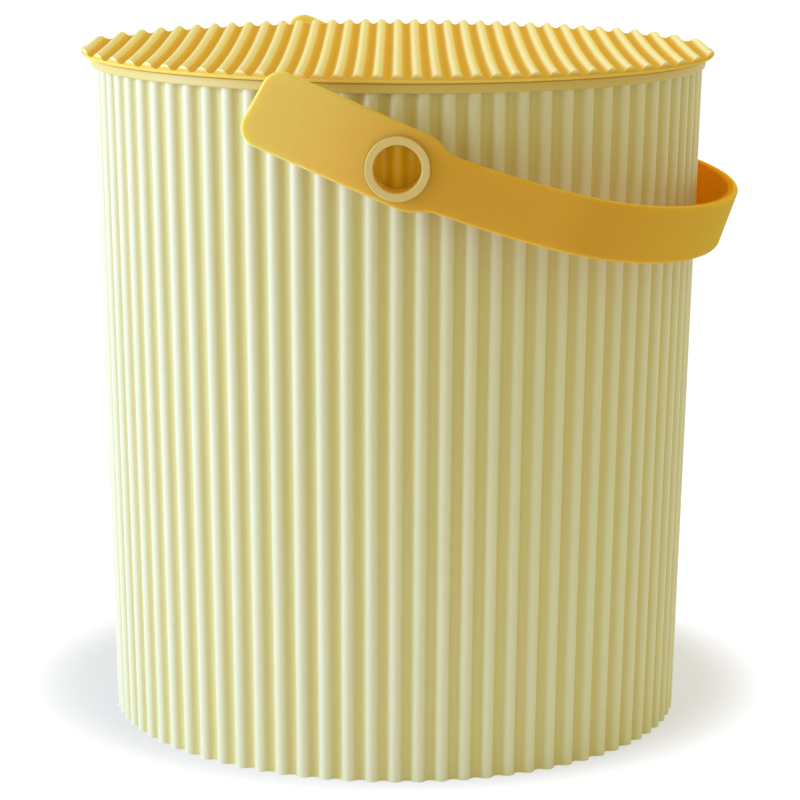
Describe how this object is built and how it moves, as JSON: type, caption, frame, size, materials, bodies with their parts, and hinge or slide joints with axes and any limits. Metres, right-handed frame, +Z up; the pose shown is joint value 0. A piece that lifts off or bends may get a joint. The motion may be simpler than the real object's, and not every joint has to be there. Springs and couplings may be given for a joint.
{
  "type": "bucket with lid",
  "caption": "Round ribbed plastic bucket, slightly tapered, with a lift-off ribbed dished lid and a gently curved flat bail handle that swings on two pivot rings.",
  "frame": {"origin": "centre of the foot on the floor, on the bucket's centre line", "axes": "+Z up along the bucket's centre line, Y along the handle's pivots with the front pivot at -Y, +X towards the stored bail"},
  "size_m": [0.3234, 0.335, 0.3353],
  "materials": {
    "body_plastic": "satin ivory",
    "lid_plastic": "satin yellow",
    "ring_plastic": "satin cream",
    "handle_plastic": "satin deep yellow"
  },
  "bodies": {
    "bucket": {"bucket_body": "body_plastic", "pivot_ring_front": "ring_plastic", "pivot_ring_back": "ring_plastic"},
    "handle": {"handle": "handle_plastic"},
    "lid": {"lid": "lid_plastic"}
  },
  "joints": [
    {"name": "handle_swing", "type": "hinge", "parent": "bucket", "child": "handle", "pos_m": [0, 0, 0.2928], "axis": [0, -1, 0], "range_deg": [0, 214]},
    {"name": "lid_lift", "type": "slide", "parent": "bucket", "child": "lid", "axis": [0, 0, 1], "range_m": [0, 0.25]}
  ]
}
